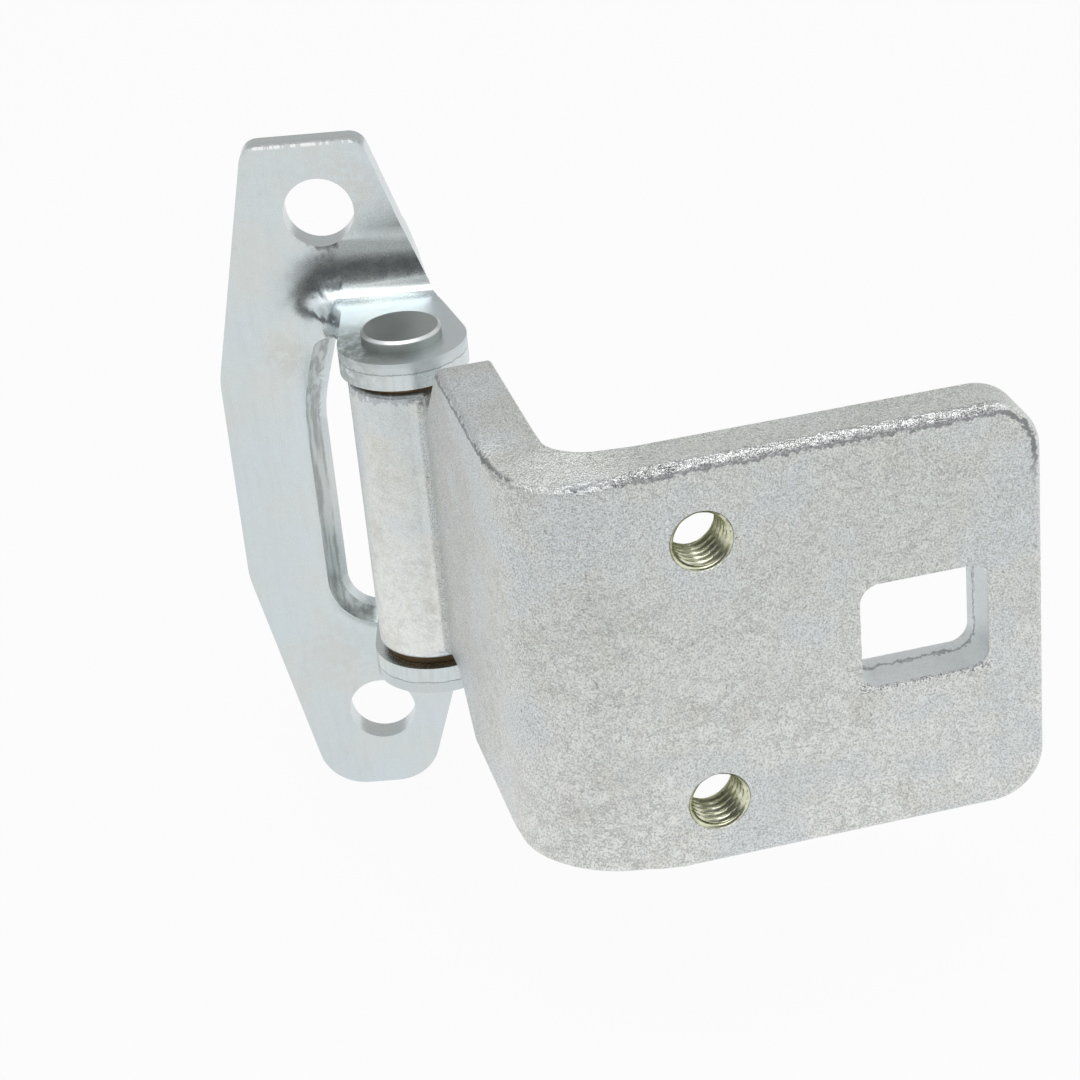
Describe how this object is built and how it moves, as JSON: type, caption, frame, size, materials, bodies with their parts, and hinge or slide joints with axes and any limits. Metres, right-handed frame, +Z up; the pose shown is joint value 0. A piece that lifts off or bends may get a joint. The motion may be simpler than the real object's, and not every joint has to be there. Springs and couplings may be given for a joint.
{
  "type": "car door hinge",
  "caption": "Steel car door hinge: a stamped leaf with ears holds a riveted pin, and a thick bent leaf with a knuckle, threaded bolt holes and a window swings on it.",
  "frame": {"origin": "on the pillar leaf's mounting face, midway between its two fixing holes", "axes": "+Y out of the mounting face into the pillar, +X to the right for someone who faces the hinge, +Z up along the pin"},
  "size_m": [0.1087, 0.079, 0.1042],
  "materials": {
    "plated_sheet": "bright zinc plating on pressed sheet, smooth",
    "plated_forging": "bright zinc plating on a blasted, slightly rough surface",
    "pin_steel": "fine turned, darker than the leaves",
    "bush_bronze": "dull bronze"
  },
  "bodies": {
    "pillar": {"pillar_leaf": "plated_sheet", "hinge_pin": "pin_steel"},
    "door": {"door_leaf": "plated_forging", "upper_bush": "bush_bronze", "lower_bush": "bush_bronze"}
  },
  "joints": [
    {"name": "door_swing", "type": "hinge", "parent": "pillar", "child": "door", "pos_m": [0.0112, -0.0226, 0.00295], "axis": [0, 0, 1], "range_deg": [-65, 10]}
  ]
}
